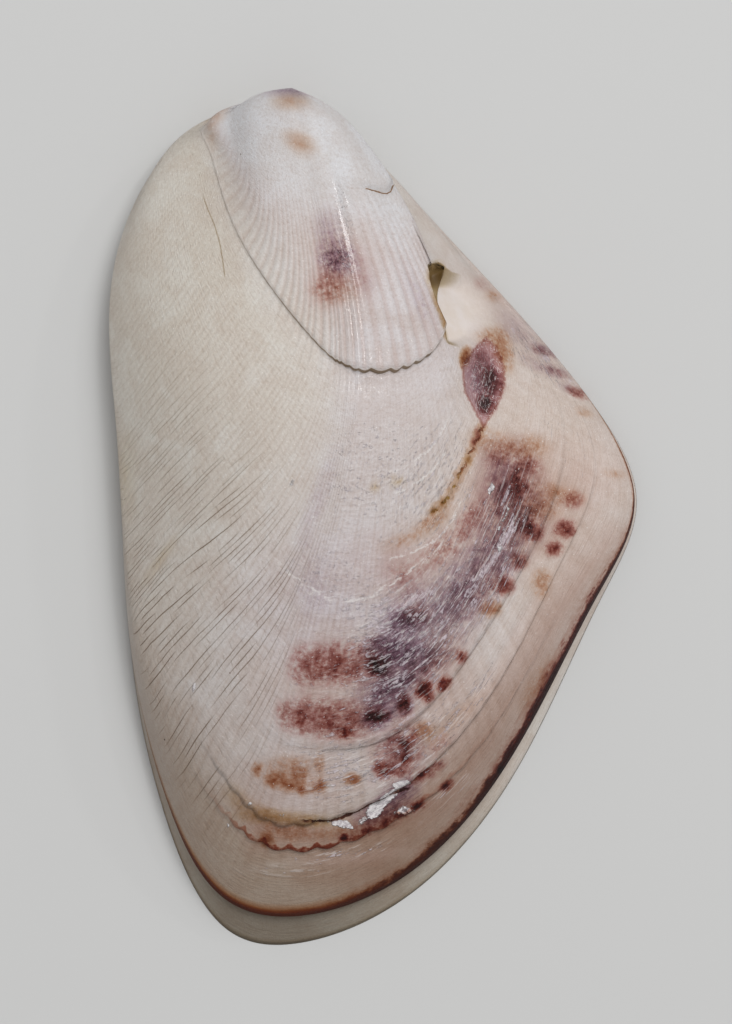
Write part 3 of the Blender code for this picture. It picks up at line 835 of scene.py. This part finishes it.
def mix(share, first, second, blend="MIX"):
    """First where the share is nothing, second where it is one. The numbers are the colour sockets."""
    made = node("Mix", data_type="RGBA", blend_type=blend)
    for value, index in ((share, 0), (first, 6), (second, 7)):
        wire(value, made.inputs[index])
    return made.outputs[2]


def stained(colour, amount, tint):
    """A ground seen through a stain: its colour times the tint to the power of the amount."""
    made = node("Gamma")
    wire(tint, made.inputs["Color"])
    wire(amount, made.inputs["Gamma"])
    return mix(1.0, colour, made.outputs[0], "MULTIPLY")


# %% Readings and noises
def reading(name):
    return node("Attribute", attribute_name=name).outputs["Fac"]


def place_mm():
    """Object coordinates in millimetres."""
    scale = node("VectorMath", operation="SCALE")
    wire(node("TexCoord").outputs["Object"], scale.inputs[0])
    wire(1 / MM, scale.inputs["Scale"])
    return scale.outputs[0]


def growth_place(per_rib, per_age):
    """A place on the unrolled shell: ribs across and age along, each stretched by its own factor."""
    made = node("CombineXYZ")
    wire(times(reading("late_rib"), per_rib), made.inputs[0])
    wire(times(reading("age"), per_age), made.inputs[1])
    return made.outputs[0]


def noise(where, scale, detail=3.0, rough=0.5, bend=0.0):
    made = node("TexNoise")
    names = ("Vector", "Scale", "Detail", "Roughness", "Distortion")
    for name, value in zip(names, (where, scale, detail, rough, bend)):
        wire(value, made.inputs[name])
    return made.outputs["Fac"]


# %% [markdown]
# ## The outer layer
# The outside is limy white with a lilac cast, warmer on the hinge side and straw coloured on the front
# flank. Pigment was laid down at the growing edge, in spots that line up with the ribs. A painted texture
# would look right from one side only. Here each pigment is a share on the vertices, broken up by noise
# that is stretched along the growth lines.

# %% Ground tones and stains
BODY = (0.605, 0.57, 0.578, 1)
FLANK = (0.645, 0.615, 0.56, 1)
WING = (0.62, 0.55, 0.512, 1)
# LOWER is partly the shell's darker tone and partly painted shade on the bottom slope.
LOWER = (0.35, 0.28, 0.225, 1)
UMBO = (0.63, 0.63, 0.65, 1)
STRIP = (0.55, 0.51, 0.44, 1)
PIT_FLOOR = (0.62, 0.545, 0.49, 1)
BLUSH = (0.84, 0.68, 0.63, 1)
WINE = (0.30, 0.095, 0.08, 1)
RUST = (0.46, 0.20, 0.10, 1)
VIOLET = (0.23, 0.13, 0.20, 1)
OLIVE = (0.56, 0.38, 0.18, 1)

# %% [markdown]
# ### Ground
# Tones are mixed by where a vertex lies, and noises then darken them a little. The finest is sand-like and
# the broadest drifts over several millimetres, because limy shell is never one flat colour.

# %% Outer layer: ground
fleck_places = {}
for name, (across, down, size) in FLECKS.items():
    nearest = np.argmin(np.hypot(eye_place[..., 0] - across, eye_place[..., 1] - down))
    place = outside.reshape(-1, 3)[nearest] - MIDDLE
    scale = (1 - place[2] / EYE_HEIGHT) * PIXEL
    fleck_places[name] = (
        (across - VIEW_PIXELS[0] / 2) * scale - MIDDLE[0], (VIEW_PIXELS[1] / 2 - down) * scale - MIDDLE[1],
        place[2],
    )

outer, surface = new_material("ribbed_outer_layer")
spot = place_mm()
mottle = noise(spot, 0.8, 3, 0.6)
speckle = noise(spot, 5.5, 3, 0.7)
grain = noise(spot, 15.0, 2, 0.7)
streaks = noise(growth_place(0.50, 250), 1.0, 3, 0.65)
flakes = noise(growth_place(0.50, 150), 1.0, 4, 0.70, 1.6)
hairs = noise(growth_place(3.0, 16), 1.0, 1, 0.6)
past_juvenile = reading("past_juvenile")
past_brown = reading("past_brown")
grown_up = fade(past_juvenile, -0.03, 0.03)
pocket_depth = reading("pocket_depth")
in_pocket = reading("in_pocket")

colour = mix(reading("flank"), BODY, FLANK)
colour = mix(reading("wing"), colour, WING)
# Darker towards the bottom: partly the shell's own tone, partly painted shade.
colour = mix(reading("lower"), colour, LOWER)
colour = mix(fade(reading("age"), 0.13, 0.24, 1, 0), colour, UMBO)
strip = times(fade(past_brown, 0.0, 0.10), reading("strip_show"))
colour = mix(strip, colour, mix(reading("strip_light"), STRIP, (0.63, 0.59, 0.545, 1)))
# Painted shade on the strip below the brown ledge, strongest along the bottom.
colour = stained(colour, times(strip, reading("strip_shade")), (0.44, 0.41, 0.38, 1))
colour = mix(times(reading("pale"), 0.6), colour, (0.66, 0.61, 0.60, 1))
colour = stained(colour, reading("blush"), BLUSH)
drift = noise(spot, 0.33, 2, 0.6, 0.8)
colour = stained(colour, fade(drift, 0.42, 0.62, 0.55, 0), (0.90, 0.85, 0.81, 1))
colour = stained(colour, fade(mottle, 0.40, 0.70, 0, 0.5), (0.92, 0.88, 0.86, 1))
colour = stained(colour, fade(speckle, 0.30, 0.62, 0.13, 0), (0.60, 0.50, 0.42, 1))
colour = stained(colour, fade(streaks, 0.32, 0.50, 0.30, 0), (0.78, 0.70, 0.66, 1))
colour = stained(colour, fade(grain, 0.35, 0.60, 0.35, 0), (0.80, 0.76, 0.74, 1))

# %% [markdown]
# ### Ribs as stripes
# Dirt and wear sit between ribs. The same cosine that raises a rib darkens the groove beside it.

# %% Outer layer: ribs as stripes
late_wave = calc("COSINE", times(reading("late_rib"), 2 * np.pi))
young_wave = calc("COSINE", times(reading("young_rib"), 2 * np.pi))
ribbed = times(grown_up, reading("rib_height"))
ribbed = times(ribbed, minus(1, in_pocket))
stripe = times(fade(late_wave, 0.5, -0.9), ribbed)
stripe = times(stripe, fade(hairs, 0.35, 0.65, 0.1, 0.9))
colour = stained(colour, times(stripe, 0.35), (0.72, 0.64, 0.58, 1))
young = times(reading("young_show"), minus(1, grown_up))
young_stripe = times(fade(young_wave, 0.0, -0.95), young)
colour = stained(colour, times(young_stripe, 0.43), (0.80, 0.70, 0.66, 1))

# %% [markdown]
# ### Pigment
# A pigment is a stain: it multiplies the ground and does not cover it. Grit shakes its edge into grains,
# and along the ribs a little more of it is held.

# %% Outer layer: pigment
def pigment(colour, name, tint, grit, shake):
    """A pigment's share, shaken by grit where it is neither none nor full, and steeper where strong."""
    share = reading(name)
    loose = times(times(fade(share, 0.0, 0.35), fade(reading("age"), 0.12, 0.30, 0.3, 1)), shake)
    share = plus(share, times(minus(grit, 0.5), loose), clamp=True)
    return stained(colour, times(share, plus(times(share, 0.85), 0.5)), tint)


blotchy = noise(spot, 2.6, 3, 0.65)
rib_grit = plus(times(plus(blotchy, speckle), 0.5), times(times(late_wave, ribbed), 0.025))
flaky_grit = mix(grown_up, speckle, plus(times(flakes, 0.55), times(blotchy, 0.45)))
for laying in (
    ("olive", OLIVE, speckle, 1.0), ("rust", RUST, rib_grit, 2.0), ("violet", VIOLET, flaky_grit, 2.4),
    ("wine", WINE, rib_grit, 2.3), ("dots", (0.42, 0.10, 0.06, 1), rib_grit, 2.2),
):
    colour = pigment(colour, *laying)

in_scar = fade(plus(reading("scar_depth"), times(minus(speckle, 0.5), 0.25)), -0.04, 0.10)
colour = stained(colour, times(in_scar, 0.75), (0.68, 0.44, 0.50, 1))
scar_side = times(in_scar, fade(reading("scar_depth"), 0.06, 0.16, 1, 0))
colour = stained(colour, times(scar_side, 0.5), (0.50, 0.28, 0.20, 1))

# %% [markdown]
# ### Scuffs, scratches and chalk
# Wear lifts thin white flakes that follow the growth lines, and lime has crusted in the folds. A noise
# stretched along the growth gives the flakes their lie, and a threshold gives them crisp edges. Pale lilac
# patches laid over the pigment are a painted sheen, and fine white specks are painted glints.

# %% Outer layer: scuffs and chalk
scuffs_and_glint_lines = times(reading("scuffs_and_glint_lines"), minus(1, times(reading("dots"), 0.7)))
worn_flakes = plus(flakes, times(minus(scuffs_and_glint_lines, 1), 0.16))
worn_flakes = plus(worn_flakes, times(minus(speckle, 0.5), 0.34))
white_flakes = times(fade(worn_flakes, 0.515, 0.575), fade(scuffs_and_glint_lines, 0.05, 0.3))
colour = mix(times(white_flakes, 0.65), colour, (0.60, 0.53, 0.57, 1))
# Painted sheen: the patches above, broken by noise, mixed towards pale lilac over the pigment.
painted_sheen_share = plus(reading("painted_sheen"), times(minus(times(plus(flakes, speckle), 0.5), 0.5), 2.2))
painted_sheen_share = times(fade(painted_sheen_share, 0.28, 0.62), fade(reading("painted_sheen"), 0.0, 0.15))
colour = mix(times(painted_sheen_share, 0.65), colour, (0.62, 0.54, 0.575, 1))
net = ridge(noise(spot, 1.5, 3, 0.6, 1.0), 0.016)
net = times(times(net, fade(reading("scar_depth"), 0.0, 0.12)), fade(reading("dots"), 0.0, 0.6, 0.55, 0.15))
colour = mix(net, colour, (0.72, 0.62, 0.62, 1))
fine_lines = times(fade(streaks, 0.56, 0.64), scuffs_and_glint_lines)
colour = mix(times(fine_lines, 0.60), colour, (0.72, 0.68, 0.67, 1))
dark_cuts = times(fade(flakes, 0.38, 0.45, 1, 0), times(reading("violet"), 1.3, clamp=True))
colour = stained(colour, times(dark_cuts, 0.7), (0.20, 0.12, 0.16, 1))
crackle = ridge(noise(growth_place(0.9, 190), 1.0, 4, 0.6, 1.0), 0.022)
crackle = times(crackle, times(reading("violet"), scuffs_and_glint_lines))
colour = stained(colour, times(crackle, 1.1, clamp=True), (0.30, 0.20, 0.24, 1))
# Painted glints: fine white specks, kept off the dark lower shell and the deep dots.
painted_glints = times(fade(noise(spot, 12.0, 2, 0.6), 0.66, 0.74), 0.6)
painted_glints = times(painted_glints, minus(1, calc("MAXIMUM", reading("lower"), reading("dots"))))
colour = mix(painted_glints, colour, (0.80, 0.78, 0.76, 1))

# %% Outer layer: chalk
chalky = plus(reading("chalk"), times(minus(speckle, 0.5), 1.1))
chalky = times(fade(chalky, 0.32, 0.52), fade(reading("chalk"), 0.0, 0.12))
colour = mix(chalky, colour, mix(fade(speckle, 0.4, 0.6), (0.44, 0.40, 0.42, 1), (0.70, 0.67, 0.67, 1)))

# %% [markdown]
# ### The pocket
# The floor of the pocket is clean pale shell. Its steep wall is olive brown, darkened further by painted
# shade, and its top corner holds a painted shadow.

# %% Outer layer: the pocket
floor_tint = mix(fade(mottle, 0.4, 0.65), PIT_FLOOR, (0.66, 0.60, 0.57, 1))
colour = mix(times(in_pocket, 0.9), colour, floor_tint)
# The wall: olive brown, with painted shade along the steep side.
wall = times(fade(pocket_depth, 0.20, 0.42, 1, 0), fade(pocket_depth, -0.03, 0.03))
wall = times(wall, reading("pocket_wall"))
colour = stained(colour, wall, (0.36, 0.28, 0.15, 1))
# Painted shadow in the top corner of the pocket, olive and dark.
hollow_olive_and_painted_shade = times(in_pocket, reading("olive"))
colour = stained(colour, hollow_olive_and_painted_shade, (0.40, 0.32, 0.16, 1))

# %% [markdown]
# ### Gaps under the ledges
# A dark line runs at the foot of each ledge. The distance past the old edge, which the mesh carries, gives a
# line far finer than the mesh itself.

# %% Outer layer: gaps under the ledges
def gap(colour, name, width, tint):
    """A dark line at the foot of a ledge, as wide as width in mm where its strength is one."""
    distance = reading("past_" + name)
    strength = reading("gap_" + name)
    reach = times(times(width, strength), fade(mottle, 0.3, 0.65, 0.6, 1.3))
    line = times(fade(distance, -0.015, 0.008), fade(calc("DIVIDE", distance, reach), 0.5, 1.3, 1, 0))
    return stained(colour, times(line, fade(strength, 0.0, 0.8)), tint)


for ledge in (
    ("juvenile", 0.10, (0.32, 0.25, 0.17, 1)), ("worn", 0.09, (0.40, 0.22, 0.16, 1)),
    ("late", 0.12, (0.34, 0.17, 0.09, 1)),
):
    colour = gap(colour, *ledge)

# %% Outer layer: the red row and the juvenile lip
past_red = reading("past_red")
row_of_dots = plus(fade(past_red, -0.34, -0.02), plus(times(late_wave, 0.26), times(speckle, 0.9)))
red_line = times(
    fade(row_of_dots, 0.74, 1.20), times(fade(past_red, -0.40, -0.20), fade(past_red, 0.0, 0.06, 1, 0)),
)
red_line = times(red_line, fade(blotchy, 0.36, 0.58, 0.35, 1))
colour = stained(colour, times(red_line, reading("gap_red")), (0.30, 0.06, 0.03, 1))
lip = times(fade(past_juvenile, -0.14, -0.03), fade(past_juvenile, 0.0, 0.01, 1, 0))
colour = mix(times(lip, 0.35), colour, (0.70, 0.64, 0.60, 1))

# %% [markdown]
# ### Cracks
# Drawn cracks are cut from their distances. The crazing of the lower left is a rule: lines that slant
# across the ribs, each as wide as a slow noise allows, and gone where that falls to nothing.

# %% Outer layer: cracks
def line_of(name, width, waver):
    """Strength of a drawn line: one in its middle, none beyond its width or past its two ends."""
    off = plus(reading(name + "_across"), times(minus(speckle, 0.5), waver))
    near = fade(calc("ABSOLUTE", off), 0.35 * width, width, 1, 0)
    along = reading(name + "_along")
    ends = times(fade(along, -0.01, 0.05), fade(along, 0.95, 1.01, 1, 0))
    return times(near, ends)


bits = fade(noise(spot, 2.2, 3, 0.6), 0.38, 0.56, 0.25, 1.0)
split = times(line_of("split", 0.085, 0.42), fade(noise(spot, 2.4, 3, 0.6), 0.44, 0.58, 0.05, 1.0))
split_tint = mix(fade(reading("split_along"), 0.45, 0.65), (0.42, 0.20, 0.11, 1), (0.62, 0.46, 0.13, 1))
split_glow = times(line_of("split", 0.32, 0.5), 0.45)
colour = stained(colour, split_glow, (0.66, 0.42, 0.26, 1))
colour = stained(colour, split, split_tint)
deep = line_of("deep_crack", 0.07, 0.16)
colour = stained(colour, times(deep, bits), (0.14, 0.05, 0.03, 1))
hook = line_of("hook", 0.035, 0.05)
colour = stained(colour, hook, (0.36, 0.20, 0.10, 1))
old_line = line_of("old_line", 0.04, 0.05)
colour = stained(colour, times(old_line, 0.6), (0.5, 0.42, 0.32, 1))
mid_line = times(line_of("mid_line", 0.10, 0.7), fade(streaks, 0.42, 0.6))
for name in ("upper_arc", "lower_arc", "right_arc"):
    arc = times(line_of(name, 0.055, 0.40), fade(blotchy, 0.40, 0.55))
    mid_line = calc("MAXIMUM", mid_line, arc)
colour = mix(times(mid_line, 0.6), colour, (0.72, 0.69, 0.67, 1))

# %% Outer layer: crazing
crack_bend = times(noise(growth_place(0.25, 6), 1.0, 2), 1.5)
crack_place = times(plus(reading("late_rib"), times(reading("age"), 15)), 1.7)
crack_place = plus(crack_place, crack_bend)
crack_place = plus(crack_place, times(minus(speckle, 0.5), 0.07))
crack_near = calc("ABSOLUTE", minus(calc("FRACT", crack_place), 0.5))
along_crack = node("CombineXYZ")
wire(times(crack_place, 0.7), along_crack.inputs[0])
wire(times(reading("age"), 9), along_crack.inputs[1])
crack_width = fade(noise(along_crack.outputs[0], 1.0, 2), 0.36, 0.70, 0.0, 0.045)
crack = times(fade(minus(crack_near, crack_width), 0.0, 0.05, 1, 0), reading("crazed"))
crack = times(crack, fade(crack_width, 0.004, 0.03))
hairline_place = minus(times(reading("age"), 105), times(reading("late_rib"), 0.5))
hairline_place = plus(hairline_place, times(mottle, 2.5))
hairline = ridge(calc("FRACT", hairline_place), 0.07)
hairline = times(times(hairline, reading("crazed")), fade(blotchy, 0.50, 0.62))
crack = plus(crack, times(hairline, 0.4), clamp=True)
colour = stained(colour, times(crack, 0.95), (0.46, 0.39, 0.31, 1))

# %% Outer layer: flecks
for name in FLECKS:
    away = node("VectorMath", operation="DISTANCE")
    wire(spot, away.inputs[0])
    away.inputs[1].default_value = fleck_places[name]
    colour = stained(
        colour, fade(away.outputs["Value"], 0.5 * FLECKS[name][2], FLECKS[name][2], 1, 0),
        (0.10, 0.07, 0.05, 1),
    )

# %% [markdown]
# ### The brown edge
# The horny skin that once covered the shell is left along the last ledge, thin and orange at the bottom,
# wide and nearly black on the right. Its inner side is ragged, so its distance is shaken by two noises.

# %% Outer layer: the brown edge
before_edge = calc("DIVIDE", times(past_brown, -1), reading("edge_width"))
patches = noise(growth_place(0.55, 60), 1.0, 4, 0.6)
edge_shake = plus(times(minus(speckle, 0.5), 1.1), times(minus(patches, 0.5), 2.8))
edge_shake = times(edge_shake, fade(reading("dark_edge"), 0.0, 0.7, 0.12, 1.0))
shaken_edge = plus(before_edge, edge_shake)
inside_edge = times(fade(past_brown, 0.08, 0.2, 1, 0), fade(reading("strip_show"), 0.05, 0.85))
halo = times(
    fade(shaken_edge, 0.3, 2.4, 0.9, 0), times(inside_edge, fade(reading("dark_edge"), 0.1, 0.9, 1, 0.5)),
)
colour = stained(colour, halo, mix(reading("dark_edge"), (0.50, 0.21, 0.09, 1), (0.42, 0.20, 0.15, 1)))
core = times(fade(shaken_edge, 0.40, 1.35, 1, 0), inside_edge)
edge_tint = mix(reading("dark_edge"), (0.50, 0.20, 0.06, 1), (0.075, 0.007, 0.005, 1))
colour = stained(colour, core, edge_tint)
# Painted shadow at the foot of the brown ledge.
foot = times(fade(past_brown, 0.05, 0.5, 1, 0), fade(past_brown, 0.0, 0.06))
colour = stained(colour, foot, (0.62, 0.55, 0.48, 1))
outer_rim = times(fade(reading("age"), 0.992, 0.9985, 0, 0.6), minus(1, reading("strip_light")))
colour = stained(colour, outer_rim, (0.62, 0.53, 0.40, 1))
wire(colour, surface.inputs["Base Color"])

# %% [markdown]
# ### Shine and fine relief
# Worn shell is dull with a thin gloss where it is smooth. Relief finer than the grid goes into a bump:
# beads on the ribs, growth lines, grain, and the cracks as cuts.

# %% Outer layer: shine and fine relief
rib_bump = times(times(late_wave, ribbed), 0.008)
beads = times(
    minus(noise(growth_place(1.6, 420), 1.0, 2, 0.5), 0.5), fade(reading("glossy"), 0, 1, 0.024, 0.060),
)
lines = times(streaks, 0.030)
fine = plus(times(grain, 0.015), times(speckle, 0.009))
relief = plus(plus(rib_bump, beads), plus(lines, fine))
relief = times(relief, minus(1, times(in_pocket, 0.8)))
relief = plus(relief, times(white_flakes, 0.022))
relief = plus(relief, times(chalky, 0.06))
cuts = plus(times(crack, 0.03), times(plus(split, deep), 0.05))
relief = minus(relief, plus(cuts, times(dark_cuts, 0.02)))
bump = node("Bump")
bump.inputs["Strength"].default_value = 1.0
bump.inputs["Distance"].default_value = MM
wire(relief, bump.inputs["Height"])
wire(bump.outputs[0], surface.inputs["Normal"])
rough = fade(plus(grain, times(chalky, 0.5)), 0.3, 0.9, 0.36, 0.66)
rough = minus(rough, times(reading("glossy"), 0.16))
wire(rough, surface.inputs["Roughness"])
surface.inputs["Specular IOR Level"].default_value = 0.20
surface.inputs["Coat Roughness"].default_value = 0.10
wire(times(reading("glossy"), 0.9), surface.inputs["Coat Weight"])
print(outer.name, "has", len(outer.node_tree.nodes), "nodes")

# %% [markdown]
# ## The mother-of-pearl
# The hollow is lined with nacre: smooth, bluish white, with a purple flush where the shell is thin. It is
# a second material on the faces of the hollow, so that the two finishes meet exactly at the rim.

# %% Nacre
nacre, surface = new_material("nacre")
spot = place_mm()
clouds = noise(spot, 0.22, 4, 0.55, 0.6)
bands = noise(spot, 0.9, 3, 0.5, 1.2)
colour = mix(fade(clouds, 0.35, 0.7), (0.62, 0.63, 0.66, 1), (0.40, 0.34, 0.44, 1))
colour = mix(fade(bands, 0.45, 0.75, 0, 0.35), colour, (0.72, 0.66, 0.62, 1))
wire(colour, surface.inputs["Base Color"])
bump = node("Bump")
bump.inputs["Distance"].default_value = MM
wire(times(noise(spot, 1.6, 3), 0.05), bump.inputs["Height"])
wire(bump.outputs[0], surface.inputs["Normal"])
surface.inputs["Roughness"].default_value = 0.22
surface.inputs["Coat Weight"].default_value = 0.5
surface.inputs["Coat Roughness"].default_value = 0.08

# %% Outside and hollow take their materials
mesh.materials.append(outer)
mesh.materials.append(nacre)
inner_faces = np.zeros(len(mesh.polygons), np.int32)
quad_ring = np.repeat(np.arange(len(ring)), COLUMNS)
inner_faces[: len(quads)] = quad_ring >= len(outside)
inner_faces[len(quads) + COLUMNS :] = 1
mesh.polygons.foreach_set("material_index", inner_faces)
print(int(inner_faces.sum()), "faces of mother-of-pearl")

# %% [markdown]
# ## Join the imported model
# The piece rides the only body, and stands in for the plain solid.

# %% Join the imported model
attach(shell, "root")
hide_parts("mussel_valve")

# %% [markdown]
# ## Floor and light
# The shell lies on a plain pale floor. Daylight from a window is soft and comes from the upper right, so
# one large lamp stands there and a pale sky fills the shadows. Four small panes give the glints on the
# ribs of the juvenile shell.

# %% Floor
FLOOR_SIZE = 3  # metres, well past the edges of the picture
FLOOR_DROP = 0.00002  # metres, so that the rim and the floor never share a plane
bpy.ops.mesh.primitive_plane_add(size=FLOOR_SIZE, location=(0, 0, -FLOOR_DROP))
floor = bpy.context.object
floor.name = "floor"
paper, surface = new_material("pale_floor")
surface.inputs["Base Color"].default_value = (0.56, 0.56, 0.555, 1)
surface.inputs["Roughness"].default_value = 0.9
floor.data.materials.append(paper)

# %% Light
sky = bpy.data.worlds.new("sky")
bpy.context.scene.world = sky
sky.use_nodes = True
sky.node_tree.nodes["Background"].inputs["Color"].default_value = (1.0, 1.0, 1.0, 1)
sky.node_tree.nodes["Background"].inputs["Strength"].default_value = 0.44


def square_lamp(name, place, size, energy):
    """A square lamp of this size in metres and energy in watts, turned to the middle of the scene."""
    light = bpy.data.lights.new(name, "AREA")
    light.size, light.energy = size, energy
    lamp = bpy.data.objects.new(name, light)
    bpy.context.scene.collection.objects.link(lamp)
    lamp.location = place
    lamp.rotation_euler = (-Vector(place)).to_track_quat("-Z", "Y").to_euler()


square_lamp("window", (0.12, 0.19, 0.46), 0.24, 1.5)
PANES = [(0.35, 0.22, 0.28), (0.25, 0.245, 0.355), (0.12, 0.225, 0.43), (0.0, 0.20, 0.455)]
for number, place in enumerate(PANES):
    square_lamp(f"pane_{number}", place, 0.02, 0.09)
bpy.context.scene.view_settings.view_transform = "Standard"

# %% [markdown]
# ## Camera
# The lens is chosen so that one pixel of the full view is 0.042 mm at the floor.

# %% Camera
lens = bpy.data.cameras.new("above")
lens.lens = 36 * EYE_HEIGHT / (VIEW_PIXELS[1] * PIXEL)
lens.clip_start = 0.005
camera = bpy.data.objects.new("above", lens)
bpy.context.scene.collection.objects.link(camera)
camera.location = (-MIDDLE[0] * MM, -MIDDLE[1] * MM, EYE_HEIGHT * MM)
bpy.context.scene.camera = camera
